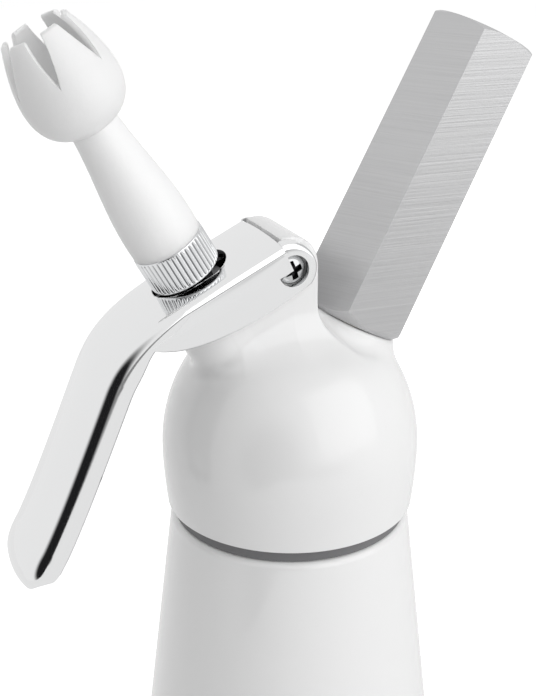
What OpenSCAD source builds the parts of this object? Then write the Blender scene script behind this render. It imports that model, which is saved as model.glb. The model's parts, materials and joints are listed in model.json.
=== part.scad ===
// Hand-held cream dispenser: a pressure bottle with a cast screw-on head, a sprung
// squeeze lever that works a push-in valve, a tulip nozzle, and a hexagonal holder
// for a gas charger. The origin is the middle of the bottle's foot. +Z runs up the
// bottle, the nozzle and lever point to -X and the charger holder to +X.

/* [Bottle] */
// Outside radius of the bottle's body
body_r = 42.5; // [41:0.5:46]
// Height of the bottle's shoulder edge, where the head's collar ring sits
shoulder_z = 134.3; // [125:0.5:160]
// Radius of the shoulder edge under the collar ring
shoulder_r = 31.4; // [31:0.1:32.5]
// Height at which the body's side turns into the long shoulder
bend_z = 41.8; // [35:0.1:60]
// Radius of the bend between the body and the long shoulder
flare_bend_r = 300; // [150:10:340]
// Rounding of the shoulder edge
shoulder_round = 2; // [1:0.5:3]
// Rounding at the foot of the body
foot_round = 6; // [3:0.5:8]
// Height of the hollow under the base
base_rise = 3; // [1:0.5:5]
// Width of the ring that the bottle stands on
foot_ring_w = 3; // [2:0.5:5]
// Wall of the bottle
bottle_wall = 1.8; // [1.2:0.1:2.4]
// Height of the threaded neck above the shoulder edge
neck_h = 14; // [12:0.5:16]
// Outside radius of the threaded neck
neck_r = 26.8; // [25:0.1:27.2]
// Wall of the threaded neck
neck_wall = 2.2; // [1.6:0.1:3]

/* [Head casting] */
// Height of the gap between the shoulder and the head's rim
rim_gap = 3.7; // [3:0.1:5]
// Radius of the head at its rim
rim_r = 32; // [31:0.5:34]
// Greatest radius of the dome
dome_r = 33; // [32:0.5:36]
// Height above the rim of the dome's widest place
dome_widest_h = 15; // [10:0.5:20]
// Height of the dome's crown above the rim
dome_h = 46.5; // [45:0.5:47]
// Half width of the fin that carries the lever and the valve
fin_half_w = 10.3; // [9:0.1:10.4]
// Height above the rim of the point where the valve and holder axes meet
axes_h = 15.4; // [14:0.1:17]

/* [Valve] */
// Lean of the valve and nozzle towards -X, measured from upright
valve_tilt = 29.4; // [27:0.1:32]
// Radius of the valve boss on the casting
boss_r = 10.3; // [9.5:0.1:10.4]
// Length of the valve boss along its axis
boss_l = 45.5; // [45:0.1:45.8]
// Radius of the pocket for the spring and the gland
spring_pocket_r = 6.4; // [5.8:0.1:6.9]
// Radius of the valve stem
stem_r = 3.2; // [3:0.1:3.6]
// Radius of the passage up the middle of the stem
stem_bore_r = 1.7; // [1.2:0.1:2]
// Distance along the valve axis of the seat for the rubber washer
seat_d = 16; // [15:0.5:17]
// Travel of the stem when the lever is squeezed
valve_stroke = 2.2; // [1.5:0.1:2.3]
// Radius of the rubber washer
washer_r = 6; // [5.5:0.1:6.5]
// Wire of the return spring
spring_wire = 1.1; // [0.8:0.1:1.2]
// Curls of the return spring
spring_turns = 5; // [4:1:6]

/* [Nozzle] */
// Distance along the valve axis from the axes' meeting point to the adapter's foot
adapter_d = 56.2; // [56.1:0.1:57]
// Length of the knurled adapter
adapter_l = 9.4; // [9:0.1:12]
// Radius of the knurled adapter over its ridges
adapter_r = 9; // [8.5:0.1:9.5]
// Ridges of the knurl
knurl_count = 56; // [40:4:64]
// Depth of the knurl
knurl_depth = 0.4; // [0.2:0.05:0.6]
// Length of the plain nozzle between the adapter and the tulip
nozzle_l = 32.6; // [30:0.1:38]
// Radius of the nozzle's waist under the tulip
waist_r = 5.7; // [5:0.1:6.5]
// Height of the tulip along the nozzle's axis
tulip_l = 24.5; // [22:0.5:28]
// Greatest outside radius of the tulip
tulip_r = 11.6; // [10.5:0.1:13]
// Petals of the tulip
petals = 6; // [5:1:8]
// Depth of the notches between the petals
notch_l = 11; // [6:0.5:14]
// Wall of the tulip
tulip_wall = 1.4; // [1:0.1:1.8]

/* [Lever] */
// Width of the lever
lever_w = 25.6; // [25:0.1:28]
// Thickness of the lever's two ears
ear_t = 2.2; // [1.8:0.1:2.3]
// Thickness of the lever's top plate
plate_t = 2.3; // [1.8:0.1:2.4]
// Depth of the handle's side walls
handle_depth = 8.2; // [7:0.1:9]
// Place of the pivot ahead of the bottle's axis
pivot_x = 5.2; // [4.8:0.1:5.6]
// Height of the pivot above the head's rim
pivot_h = 65.3; // [64.8:0.1:65.8]
// Radius of the lever's ears about the pivot
ear_r = 6.2; // [5.6:0.1:6.4]
// Radius of the pivot screws' heads, which the ears turn on
screw_head_r = 3.6; // [3.2:0.1:3.9]
// Length of the handle from the bend to its tip
handle_l = 55.5; // [50:0.5:62]

/* [Charger holder] */
// Lean of the charger holder towards +X, measured from upright
holder_tilt = 27.6; // [26:0.1:29]
// Width across the flats of the hexagonal holder at its seat
holder_af = 27.7; // [27:0.1:29]
// Width across its flats at the far end
holder_end_af = 25.6; // [25:0.1:27]
// Length of the holder
holder_l = 78; // [77.5:0.5:88]
// Turn of the hexagon about its own axis
hex_turn = 55; // [0:1:60]
// Radius of the chamber that takes the charger
charger_r = 9.6; // [9.4:0.1:10]
// Depth of the chamber, from the holder's open end
charger_depth = 69; // [68:0.5:73]
// Distance along the holder axis from the axes' meeting point to the seat
holder_seat_d = 34.5; // [34:0.1:36]
// Radius of the casting's seat under the holder
holder_seat_r = 13; // [12:0.1:13.4]
// Radius of the threaded stub that the holder screws onto
stub_r = 10.7; // [10.4:0.1:11]
// Length of the threaded stub
stub_l = 11; // [9:0.5:12]

/* [Inside the head] */
// Outside radius of the grey collar ring
collar_ring_r = 30.2; // [29.5:0.1:30.5]
// Thickness of the gasket on the bottle's mouth
gasket_h = 2; // [1.5:0.1:2.5]
// Height of the chamber above the gasket
cavity_l = 14.5; // [12:0.5:15]
// Radius at the top of that chamber
cavity_top_r = 14; // [12:0.5:16]
// Distance along the valve axis of the O-ring's step
gland_d = 26; // [25:0.5:27]
// Radius of the step that holds the stem's O-ring
o_ring_r = 5.3; // [5.2:0.1:5.5]
// Wire radius of the stem's O-ring
o_ring_wire = 1; // [0.8:0.1:1.1]
// Length of the gland bush
gland_l = 4; // [3:0.5:5]
// Thickness of the rubber washer
washer_t = 2.5; // [2:0.1:3]
// Thickness of the nut under the washer
washer_nut_t = 2.5; // [2:0.1:3]
// Distance along the valve axis of the stem's side ports
port_d = 17.8; // [17.5:0.1:18.5]
// Radius of the stem's side ports
port_r = 1; // [0.8:0.1:1.2]
// Distance along the valve axis of the stem's open end
stem_top_d = 60; // [59.5:0.1:60.2]
// Height of the stem's collar above the valve boss
collar_gap = 3.5; // [3.3:0.1:3.6]
// Radius of the stem's collar, which the lever pushes
collar_r = 7.4; // [7:0.1:7.6]
// Thickness of the stem's collar
collar_t = 3.2; // [2.8:0.1:3.3]
// Length of the collar's hexagon, which stands up in the lever's slot
collar_hex_l = 2.8; // [2:0.1:3.2]
// Radius of the cup in the adapter for the nozzle's foot
cup_r = 6.8; // [6:0.1:7]
// Thickness of the adapter's seal
seal_t = 1.2; // [0.8:0.1:1.5]
// Radius of the passage up the middle of the nozzle
passage_r = 2.4; // [2:0.1:3]
// Radius of the stub's shank in the casting
shank_r = 6.9; // [6:0.1:7.2]
// Length of the stub's shank in the casting
shank_l = 10.5; // [8:0.5:12]
// Height of the piercing pin's seat in the stub, above the casting
pin_seat_h = 2; // [1.5:0.1:3.5]
// Radius of the piercing pin's flange
pin_flange_r = 4.6; // [4.2:0.1:5]
// Length of the piercing pin's point
pin_point_l = 4; // [3:0.5:5]
// Distance along the holder axis of the one-way valve's seat
check_d = 17; // [16.5:0.1:17.5]
// Radius of the one-way valve's cage
check_r = 4.8; // [4.4:0.1:5]

/* [Fits] */
// Clearance between pieces that move past each other
run_gap = 0.3; // [0.2:0.05:0.4]
// Radial clearance of a turning fit
turn_gap = 0.08; // [0.05:0.01:0.1]
// Clearance between pieces that stay together
seat_gap = 0.05; // [0.02:0.01:0.1]

/* [Hidden] */
$fn = 96;
eps = 0.01;

// Heights
rim_z = shoulder_z + rim_gap;
neck_top_z = shoulder_z + neck_h;
axes_z = rim_z + axes_h;
pivot = [-pivot_x, rim_z + pivot_h];
neck_bore_r = neck_r - neck_wall;
pin_d = holder_seat_d + pin_seat_h;

// Colours of the pieces
white_enamel = [0.95, 0.95, 0.95];
polished = [0.84, 0.85, 0.86];
satin_steel = [0.7, 0.71, 0.72];
brass = [0.8, 0.65, 0.35];
soft_grey = [0.5, 0.5, 0.52];
dark_rubber = [0.2, 0.2, 0.21];
white_plastic = [0.93, 0.93, 0.93];

// Sizes that a user has no need to change
plate_slope = 25.1;
plate_low = 5.7;
plate_l = 26;
bend_size = 19;
handle_lean = 17.3;
crown_rise = 0.8;
edge_round = 2.4;
tip_taper_l = 16;
tip_power = 3.6;
tip_edge = 0.4;
trough_stop = 9;
trough_rise = 1;
slot_r = 6.6;
slot_x = [-2, 2];
slot_cut_l = 12;
crown_h = 10.5;
dome_axis_h = 37.7;
fin_back_x = 2.6;
fin_r = 7.2;
fin_foot_h = 30;
fin_root_h = 4;
boss_wide_l = 35;
valve_pocket_d = 4;
valve_pocket_r = 7.3;
gas_hole_r = 1;
bush_r = 2.9;
screw_r = 1.5;
screw_l = 6;
screw_head_l = 2.4;
screw_dome_r = 5.5;
spigot_r = 2.4;
spigot_l = 6;
notch_w = 5.2;
notch_turn = 0.2;
pin_r = 2.4;
pin_shank_l = 6;
pin_flange_t = 1.2;
pin_bore_r = 0.5;
check_l = 4;
check_disc_t = 1.2;
foot_bevel = 1;
adapter_bevel = 0.8;
adapter_lip = 0.6;
knurl_step = 0.15;
top_bevel_rise = 0.6;

// Distance from the pivot that the lever pushes the stem at, square to the valve axis
push_d = boss_l + collar_gap + collar_t;
function axis_x(d) = d * sin(valve_tilt);
push_x = -axis_x(push_d) + pivot_x;
push_h = axes_h + push_d * cos(valve_tilt) - pivot_h;
lever_arm = -push_x * cos(valve_tilt) - push_h * sin(valve_tilt);
squeeze_angle = valve_stroke / lever_arm * 180 / PI;
echo(lever_arm = lever_arm, squeeze_angle = squeeze_angle);

// Points of an arc, from angle a0 to a1 about [cx, cz]
function arc(cx, cz, r, a0, a1, n) =
    [for (i = [0:n]) let (a = a0 + (a1 - a0) * i / n) [cx + r * cos(a), cz + r * sin(a)]];

module on_valve_axis(d = 0) translate([0, 0, axes_z]) rotate([0, -valve_tilt, 0]) translate([0, 0, d]) children();
module on_holder_axis(d = 0) translate([0, 0, axes_z]) rotate([0, holder_tilt, 0]) translate([0, 0, d]) children();
module tube(r_out, r_in, l) difference() {
    cylinder(r = r_out, h = l);
    translate([0, 0, -1]) cylinder(r = r_in, h = l + 2);
}

// ---- Bottle: a spun aluminium vessel with a long sloping shoulder ----
edge_z = shoulder_z - shoulder_round;
flare_angle = atan((body_r - shoulder_r) / (edge_z - bend_z));
bend_half = flare_bend_r * tan(flare_angle / 2);
foot_in_r = body_r - foot_round - foot_ring_w;

// Side of the bottle from the foot to the shoulder edge, or a line inset from it
function bottle_line(inset) = concat(
    arc(body_r - foot_round, foot_round, foot_round - inset, -90, 0, 8),
    arc(body_r - flare_bend_r, bend_z - bend_half, flare_bend_r - inset, 0, flare_angle, 8),
    arc(shoulder_r - shoulder_round, edge_z, shoulder_round - inset, flare_angle, 90, 6));

module bottle() color(white_enamel) rotate_extrude() difference() {
    union() {
        polygon(concat([[0, 0]], bottle_line(0), [[0, shoulder_z]]));
        square([neck_r, neck_top_z]);
    }
    polygon(concat([[0, base_rise + bottle_wall], [foot_in_r, base_rise + bottle_wall]],
                   bottle_line(bottle_wall), [[0, shoulder_z - bottle_wall]]));
    translate([0, edge_z]) square([neck_bore_r, neck_h + shoulder_round + 1]);
    polygon([[0, -1], [foot_in_r + 1, -1], [foot_in_r, 0], [foot_in_r - base_rise, base_rise], [0, base_rise]]);
}

// ---- Seals between the bottle and the head ----
module collar_ring() color(soft_grey) translate([0, 0, shoulder_z + run_gap])
    tube(collar_ring_r, neck_r + run_gap, rim_gap - run_gap);

module head_gasket() color(soft_grey) translate([0, 0, gasket_z])
    tube(neck_r, neck_bore_r, gasket_h);

// ---- Head casting: dome, valve boss, lever fin and holder seat in one piece ----
gasket_z = neck_top_z + run_gap;
cavity_h = gasket_z + gasket_h - rim_z;
bend_h = dome_h - crown_h;
function dome_r_at(h) = dome_r * sqrt(1 - pow((h - dome_widest_h) / dome_axis_h, 2));
crown_r = dome_r_at(bend_h);
crown_slope = pow(dome_r / dome_axis_h, 2) * (bend_h - dome_widest_h) / crown_r;
crown_corner_r = crown_r - crown_slope * crown_h;

// Outside of the dome in [radius, height above the rim]: a bulge, an ellipse and a flatter crown
function dome_line() = concat(
    [for (i = [0:4]) [rim_r + (dome_r - rim_r) * sin(22.5 * i), dome_widest_h * i / 4]],
    [for (i = [1:8]) let (h = dome_widest_h + (bend_h - dome_widest_h) * i / 8) [dome_r_at(h), h]],
    [for (i = [1:6]) let (t = i / 6) pow(1 - t, 2) * [crown_r, bend_h]
        + 2 * t * (1 - t) * [crown_corner_r, dome_h] + t * t * [0, dome_h]]);

module dome() translate([0, 0, rim_z]) rotate_extrude() polygon(concat([[0, 0]], dome_line()));

// Fin in side view: its back is upright, and its top stays under the lever's plate at full squeeze
fin_slope = plate_slope + squeeze_angle;
fin_clear = plate_low - run_gap;
fin_top = pivot + fin_clear * [-sin(fin_slope), cos(fin_slope)];
fin_nose_x = -(axis_x(boss_l) - boss_r * cos(valve_tilt));
module fin_shape() polygon(concat(
    [[fin_back_x, rim_z + fin_foot_h]],
    [[fin_back_x, pivot[1] - 3]],
    arc(pivot[0], pivot[1], fin_r, 0, 80, 8),
    [fin_top, fin_top - (fin_top[0] - fin_nose_x) * [1, tan(fin_slope)],
     [fin_nose_x, rim_z + fin_foot_h]]));

// Extrudes a side view, drawn in [x, z], across the object's width
module across(width) rotate([90, 0, 0]) translate([0, 0, -width / 2]) linear_extrude(width) children();

module valve_boss() {
    on_valve_axis() cylinder(r = boss_r, h = boss_wide_l);
    intersection() {
        on_valve_axis() cylinder(r = boss_r, h = boss_l);
        translate([-3 * boss_r, 0, axes_z]) cube([8 * boss_r, 2 * fin_half_w, 8 * boss_r], center = true);
    }
}

// Sloping shoulders that carry the fin on the dome
module fin_root() hull() {
    across(2 * fin_half_w) translate([fin_nose_x, rim_z + dome_h]) square([fin_back_x - fin_nose_x, fin_root_h]);
    translate([0, 0, rim_z + fin_foot_h + 6]) scale([1, 0.62, 1])
        cylinder(r = dome_r_at(fin_foot_h + 6) - 3, h = 1, $fn = 48);
}

module head_casting() color(white_enamel) difference() {
    union() {
        dome();
        across(2 * fin_half_w) fin_shape();
        fin_root();
        valve_boss();
        on_holder_axis() cylinder(r = holder_seat_r, h = holder_seat_d);
    }
    translate([0, 0, rim_z - 1]) cylinder(r = neck_r + run_gap, h = cavity_h + 1);
    translate([0, 0, rim_z + cavity_h - eps]) cylinder(r1 = neck_bore_r, r2 = cavity_top_r, h = cavity_l);
    on_valve_axis(valve_pocket_d) cylinder(r = valve_pocket_r, h = seat_d - valve_pocket_d);
    on_valve_axis() cylinder(r = stem_r + turn_gap, h = gland_d + 1);
    on_valve_axis(gland_d) cylinder(r = o_ring_r + seat_gap, h = 2 * o_ring_wire + 1);
    on_valve_axis(gland_d + 2 * o_ring_wire) cylinder(r = spring_pocket_r, h = boss_l);
    on_holder_axis(check_d - check_l) cylinder(r = check_r + seat_gap, h = check_l);
    on_holder_axis() cylinder(r = gas_hole_r, h = holder_seat_d);
    on_holder_axis(holder_seat_d - shank_l) cylinder(r = shank_r + seat_gap, h = shank_l + 1);
    on_holder_axis(holder_seat_d) cylinder(r = holder_af / 2, h = stub_l);
    translate([pivot[0], 0, pivot[1]]) rotate([90, 0, 0])
        cylinder(r = bush_r + seat_gap, h = 4 * fin_half_w, center = true);
}

// ---- Lever pivot: a bush through the fin and a screw in each end ----
module on_pivot() translate([pivot[0], 0, pivot[1]]) rotate([90, 0, 0]) children();

module pivot_bush() color(brass) on_pivot() difference() {
    cylinder(r = bush_r, h = 2 * fin_half_w, center = true);
    cylinder(r = screw_r + seat_gap, h = 4 * fin_half_w, center = true);
}

module pivot_screw() {
    shank_end = fin_half_w - screw_l;
    difference() {
        union() {
            translate([0, 0, shank_end]) cylinder(r = screw_r, h = screw_l + eps);
            translate([0, 0, fin_half_w]) rotate_extrude() intersection() {
                translate([0, screw_head_l - screw_dome_r]) circle(r = screw_dome_r);
                square([screw_head_r, screw_head_l]);
            }
        }
        for (a = [0, 90]) rotate([0, 0, a + 20]) translate([0, 0, fin_half_w + screw_head_l])
            cube([1.3 * screw_head_r, 0.28 * screw_head_r, 0.9 * screw_head_l], center = true);
    }
}

module pivot_screws() color(polished) on_pivot() for (side = [0, 180]) rotate([side, 0, 0]) pivot_screw();

// ---- Lever: a cast channel that straddles the fin and runs down into the handle ----
// Line of the lever's top, seen from the side: the plate, the bend, the handle and its tip
plate_dir = [-cos(plate_slope), -sin(plate_slope)];
plate_up = [-sin(plate_slope), cos(plate_slope)];
plate_end = pivot + (plate_low + plate_t) * plate_up;
plate_front = plate_end + plate_l * plate_dir;
handle_dir = [-sin(handle_lean), -cos(handle_lean)];
handle_out = [-cos(handle_lean), sin(handle_lean)];
bend_end = plate_front + bend_size * [-1.15, -1];
function on_handle(f, o) = bend_end + f * handle_l * handle_dir + o * handle_out;
function bezier(p, t) = pow(1 - t, 3) * p[0] + 3 * t * pow(1 - t, 2) * p[1]
                        + 3 * t * t * (1 - t) * p[2] + pow(t, 3) * p[3];
bend_curve = [plate_front, plate_front + 0.55 * bend_size * plate_dir,
              bend_end - bend_size * [-0.22, -0.52], bend_end];
handle_curve = [bend_end, on_handle(0.2, 1.2), on_handle(0.55, 3), on_handle(0.74, 5.1)];
tip_curve = [on_handle(0.74, 5.1), on_handle(0.85, 6.9), on_handle(0.965, 6.6), on_handle(0.975, 1)];
top_line = concat([plate_end, 0.5 * (plate_end + plate_front)],
                  [for (i = [0:8]) bezier(bend_curve, i / 8)],
                  [for (i = [1:8]) bezier(handle_curve, i / 8)],
                  [for (i = [1:12]) bezier(tip_curve, i / 12)]);
last = len(top_line) - 1;
function along(i) = let (v = top_line[min(i + 1, last)] - top_line[max(i - 1, 0)]) v / norm(v);
function run_to(i) = i == 0 ? 0 : run_to(i - 1) + norm(top_line[i] - top_line[i - 1]);
lever_run = run_to(last);

// Half width of the lever, which is a blunt round at the tip
function half_w(i) = let (left = lever_run - run_to(i), r = lever_w / 2)
    left > r ? r : max(tip_edge, r * pow(1 - pow(1 - left / r, tip_power), 1 / tip_power));
function depth(i) = handle_depth * (0.45 + 0.6 * min(0.95, (lever_run - run_to(i)) / tip_taper_l));

// One section of the lever, from edge to edge over its crowned top: [across, up]
function crown(w, d) = let (r = min(edge_round, 0.6 * w, 0.6 * d)) concat(
    [[-w, -d]], [for (a = [180:-22.5:90]) [-w + r + r * cos(a), -crown_rise - r + r * sin(a)]],
    [[-0.4 * w, -0.16 * crown_rise], [0, 0], [0.4 * w, -0.16 * crown_rise]],
    [for (a = [90:-22.5:0]) [w - r + r * cos(a), -crown_rise - r + r * sin(a)]], [[w, -d]]);
function place(i, p) = let (t = along(i), q = top_line[i] + p[1] * [t[1], -t[0]]) [q[0], p[0], q[1]];

// Skin stretched over a list of sections with the same number of points
module loft(sections) {
    n = len(sections[0]);
    m = len(sections);
    polyhedron(points = [for (s = sections) each s], convexity = 8, faces = concat(
        [[for (j = [0:n - 1]) j]],
        [for (i = [0:m - 2], j = [0:n - 1]) let (k = (j + 1) % n)
            each [[i * n + j, (i + 1) * n + j, (i + 1) * n + k], [i * n + j, (i + 1) * n + k, i * n + k]]],
        [[for (j = [n - 1:-1:0]) (m - 1) * n + j]]));
}

module lever_skin() loft([for (i = [0:last]) [for (p = crown(half_w(i), depth(i))) place(i, p)]]);

// Hollow under the lever: full width between the ears, then a shallow trough in the handle
module lever_hollow() {
    inner_w = lever_w / 2 - ear_t;
    ends = [for (i = [0:last]) if (lever_run - run_to(i) > trough_stop) i];
    loft([for (i = ends) let (w = inner_w * (i < 12 ? 1 : 0.86), top = -plate_t - (i > 11 ? trough_rise : 0))
        [for (p = [[-w, -30], [-w, top - run_gap], [run_gap - w, top], [w - run_gap, top], [w, top - run_gap], [w, -30]])
            place(i, [p[0], i > 6 ? max(p[1], -depth(i) - 2) : p[1]])]]);
}

// Ear in side view: a curved skirt that ends in a round lug about the pivot
skirt_curve = [pivot + [-33.4, -14.5], pivot + [-26, -18], pivot + [-11, -13.4], pivot + [0.8 * ear_r, -0.66 * ear_r]];
module ear_shape() {
    translate(pivot) circle(r = ear_r);
    polygon(concat([for (i = [0:8]) bezier(skirt_curve, i / 8)],
                   [pivot + ear_r * plate_up * 0.9, plate_front - 3 * plate_up, plate_front + 8 * plate_dir - 6 * plate_up]));
}

module lever() color(polished) difference() {
    union() {
        difference() {
            lever_skin();
            lever_hollow();
        }
        for (side = [-1, 1]) translate([0, side * (lever_w - ear_t) / 2, 0]) across(ear_t) ear_shape();
    }
    on_pivot() cylinder(r = screw_head_r + turn_gap, h = 2 * lever_w, center = true);
    on_valve_axis(boss_l + collar_gap) for (x = slot_x) translate([x, 0, 0]) cylinder(r = slot_r, h = slot_cut_l);
    on_valve_axis(boss_l + collar_gap) translate([slot_x[0], -slot_r, 0]) cube([slot_x[1] - slot_x[0], 2 * slot_r, slot_cut_l]);
}

// ---- Valve: a hollow stem with a rubber washer, pushed in by the lever ----
module valve_stem() color(polished) on_valve_axis() difference() {
    union() {
        translate([0, 0, seat_d]) cylinder(r = stem_r, h = stem_top_d - seat_d);
        translate([0, 0, seat_d - spigot_l]) cylinder(r = spigot_r, h = spigot_l + eps);
    }
    translate([0, 0, port_d]) cylinder(r = stem_bore_r, h = stem_top_d);
    for (a = [0, 90]) rotate([0, 0, a]) translate([0, 0, port_d]) rotate([90, 0, 0])
        cylinder(r = port_r, h = 4 * stem_r, center = true);
}

module valve_washer() color(dark_rubber) on_valve_axis(seat_d - run_gap - washer_t)
    tube(washer_r, spigot_r + seat_gap, washer_t);

module washer_nut() color(polished) on_valve_axis(seat_d - run_gap - washer_t - washer_nut_t) difference() {
    cylinder(r = washer_r - 1, h = washer_nut_t, $fn = 6);
    translate([0, 0, -1]) cylinder(r = spigot_r + seat_gap, h = washer_nut_t + 2);
}

module stem_o_ring() color(dark_rubber) on_valve_axis(gland_d + o_ring_wire) rotate_extrude()
    translate([stem_r + turn_gap + o_ring_wire, 0]) circle(r = o_ring_wire - seat_gap, $fn = 24);

module gland_bush() color(brass) on_valve_axis(gland_d + 2 * o_ring_wire)
    tube(spring_pocket_r - seat_gap, stem_r + turn_gap, gland_l);

// The return spring is one helix with a flat first and last curl
spring_d0 = gland_d + 2 * o_ring_wire + gland_l;
spring_d1 = boss_l + collar_gap;
spring_r = 0.5 * (stem_r + spring_pocket_r);
spring_steps = 8 * (spring_turns + 2);
function spring_rise(u) = let (a = 1 / (spring_turns + 2))
    u < a ? 0.35 * u : u > 1 - a ? 1 - 0.35 * (1 - u) : 0.35 * a + (1 - 0.7 * a) * (u - a) / (1 - 2 * a);
function spring_at(i) = let (u = i / spring_steps, a = 45 * i)
    [spring_r * cos(a), spring_r * sin(a), spring_wire / 2 + (spring_d1 - spring_d0 - spring_wire) * spring_rise(u)];
function spring_ring(i) = let (c = spring_at(i), a = 45 * i)
    [for (k = [0:5]) c + spring_wire / 2 * (cos(60 * k) * [cos(a), sin(a), 0] + sin(60 * k) * [0, 0, 1])];
module valve_spring() color(satin_steel) on_valve_axis(spring_d0) loft([for (i = [0:spring_steps]) spring_ring(i)]);

module stem_collar() color(polished) on_valve_axis(boss_l + collar_gap) difference() {
    union() {
        cylinder(r = collar_r, h = collar_t);
        cylinder(r = slot_r - 1.2, h = collar_t + collar_hex_l, $fn = 6);
    }
    translate([0, 0, -1]) cylinder(r = stem_r + seat_gap, h = collar_t + collar_hex_l + 2);
}

// ---- Nozzle: a knurled metal adapter and a plastic tulip that plugs into it ----
module knurl_outline() polygon([for (i = [0:2 * knurl_count - 1]) let (a = 180 * i / knurl_count)
    (adapter_r - (i % 2 == 0 ? 0 : knurl_depth)) * [cos(a), sin(a)]]);

cup_d = 0.48 * adapter_l;
adapter_end_r = adapter_r - knurl_depth - knurl_step;
module nozzle_adapter() color(satin_steel) on_valve_axis(adapter_d) difference() {
    union() {
        cylinder(r1 = adapter_end_r - adapter_bevel, r2 = adapter_end_r, h = adapter_bevel);
        translate([0, 0, adapter_bevel]) linear_extrude(adapter_l - adapter_bevel - adapter_lip) knurl_outline();
        translate([0, 0, adapter_l - adapter_lip]) cylinder(r = adapter_end_r, h = adapter_lip);
    }
    translate([0, 0, -1]) cylinder(r = stem_r + run_gap, h = adapter_l);
    translate([0, 0, cup_d]) cylinder(r = cup_r, h = adapter_l);
}

module adapter_seal() color(dark_rubber) on_valve_axis(adapter_d + cup_d)
    tube(cup_r - seat_gap, stem_r + run_gap, seal_t);

waist_d = adapter_l + nozzle_l;
top_d = waist_d + tulip_l;
nozzle_curve = [[adapter_r - 0.3, adapter_l], [adapter_r + 0.3, adapter_l + 0.37 * nozzle_l],
                [waist_r + 0.9, adapter_l + 0.61 * nozzle_l], [waist_r, waist_d]];
tulip_curve = [[waist_r, waist_d], [1.164 * tulip_r, waist_d + 0.116 * tulip_l],
               [1.138 * tulip_r, waist_d + 0.5 * tulip_l], [0.68 * tulip_r, top_d]];
function curve(c, n) = [for (i = [0:n]) bezier(c, i / n)];

module nozzle_tip() color(white_plastic) on_valve_axis(adapter_d) difference() {
    rotate_extrude() difference() {
        union() {
            polygon(concat([[0, adapter_l]], curve(nozzle_curve, 10), [[0, waist_d]]));
            polygon(concat([[0, waist_d]], curve(tulip_curve, 14), [[0, top_d]]));
            translate([0, cup_d + seal_t]) square([cup_r - seat_gap, adapter_l - cup_d]);
        }
        polygon(concat([[0, waist_d + tulip_wall]],
                       [for (p = curve(tulip_curve, 14)) [max(passage_r, p[0] - tulip_wall), p[1] + 0.6 * tulip_wall]],
                       [[0, top_d + 1]]));
        square([passage_r, waist_d + 3]);
    }
    for (i = [0:petals - 1]) rotate([0, 0, (i + notch_turn) * 360 / petals]) translate([0, 0, top_d])
        rotate([0, 90, 0]) linear_extrude(2 * tulip_r)
            polygon([[1, -notch_w / 2], [-1, -notch_w / 2 - 0.1], [-1, notch_w / 2 + 0.1], [1, notch_w / 2],
                     [notch_l, 0.5], [notch_l, -0.5]]);
}

// ---- Gas inlet: a threaded stub with the piercing pin, and the one-way valve under it ----
module inlet_stub() color(brass) on_holder_axis() difference() {
    union() {
        translate([0, 0, holder_seat_d - shank_l]) cylinder(r = shank_r, h = shank_l + eps);
        translate([0, 0, holder_seat_d]) cylinder(r = stub_r, h = stub_l);
    }
    translate([0, 0, pin_d]) cylinder(r = pin_flange_r + seat_gap, h = stub_l);
    translate([0, 0, pin_d - pin_shank_l]) cylinder(r = pin_r + seat_gap, h = pin_shank_l + 1);
    cylinder(r = gas_hole_r, h = pin_d);
}

module piercing_pin() color(satin_steel) on_holder_axis(pin_d) difference() {
    union() {
        translate([0, 0, -pin_shank_l]) cylinder(r = pin_r, h = pin_shank_l + eps);
        cylinder(r = pin_flange_r, h = pin_flange_t);
        translate([0, 0, pin_flange_t - eps]) cylinder(r1 = 1.5, r2 = pin_bore_r + 0.2, h = pin_point_l);
    }
    translate([0, 0, -pin_shank_l - 1]) cylinder(r = pin_bore_r, h = pin_shank_l + pin_point_l + 5);
}

module charger_seal() color(dark_rubber) on_holder_axis(pin_d + pin_flange_t) tube(pin_flange_r, 1.7, seal_t + 0.6);

module gas_check_valve() color(dark_rubber) on_holder_axis(check_d - check_disc_t) difference() {
    cylinder(r = check_r - 0.6, h = check_disc_t);
    translate([0, 0, -1]) cylinder(r = check_r - 2.2, h = check_disc_t);
}

module check_valve_cage() color(brass) on_holder_axis(check_d - check_l) difference() {
    cylinder(r = check_r, h = check_l - check_disc_t);
    for (a = [0:90:270]) rotate([0, 0, a]) translate([0.55 * check_r, 0, -1]) cylinder(r = 0.9, h = check_l + 2);
}

// ---- Charger holder: a hexagonal bar, turned at both ends and bored for the charger ----
module charger_holder() color(satin_steel) on_holder_axis(holder_seat_d + run_gap) difference() {
    foot_corner_r = holder_af / sqrt(3);
    end_corner_r = holder_end_af / sqrt(3);
    intersection() {
        rotate([0, 0, hex_turn]) cylinder(r1 = foot_corner_r, r2 = end_corner_r, h = holder_l, $fn = 6);
        rotate_extrude() polygon([[0, 0], [holder_af / 2 - foot_bevel, 0],
            [foot_corner_r, foot_corner_r - holder_af / 2 + foot_bevel],
            [foot_corner_r, holder_l - (foot_corner_r - holder_end_af / 2) * top_bevel_rise],
            [holder_end_af / 2, holder_l], [0, holder_l]]);
    }
    translate([0, 0, -1]) cylinder(r = stub_r + run_gap, h = stub_l + 2);
    translate([0, 0, -1]) cylinder(r = charger_r, h = charger_depth + 1);
}

bottle();
head_casting();
collar_ring();
head_gasket();
pivot_bush();
pivot_screws();
lever();
valve_stem();
valve_washer();
washer_nut();
stem_o_ring();
gland_bush();
valve_spring();
stem_collar();
nozzle_adapter();
adapter_seal();
nozzle_tip();
inlet_stub();
piercing_pin();
charger_seal();
gas_check_valve();
check_valve_cage();
charger_holder();
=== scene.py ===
import json
import math

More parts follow.
